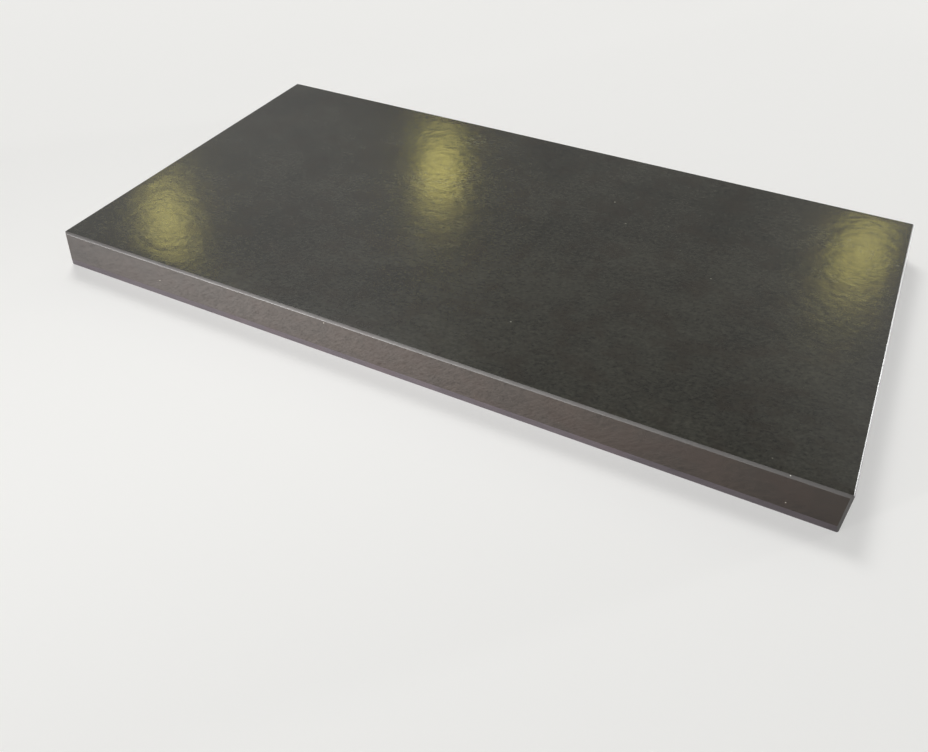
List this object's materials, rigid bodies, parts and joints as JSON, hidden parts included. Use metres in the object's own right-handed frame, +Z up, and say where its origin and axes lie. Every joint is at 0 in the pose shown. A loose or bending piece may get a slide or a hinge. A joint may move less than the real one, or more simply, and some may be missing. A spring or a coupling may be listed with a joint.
{
  "type": "compressor vane",
  "caption": "Flat rectangular sliding vane of ground carbon-graphite for a dry rotary compressor, with a bevelled tip edge and finely broken edges.",
  "frame": {"origin": "middle of the footprint, on the plane that the vane lies on", "axes": "+X along the vane's length, +Y across its width from the bevelled tip edge to the root edge, +Z up through its thickness"},
  "size_m": [0.095, 0.055, 0.005],
  "materials": {
    "carbon_graphite": "satin"
  },
  "bodies": {
    "root": {"vane": "carbon_graphite"}
  },
  "joints": []
}
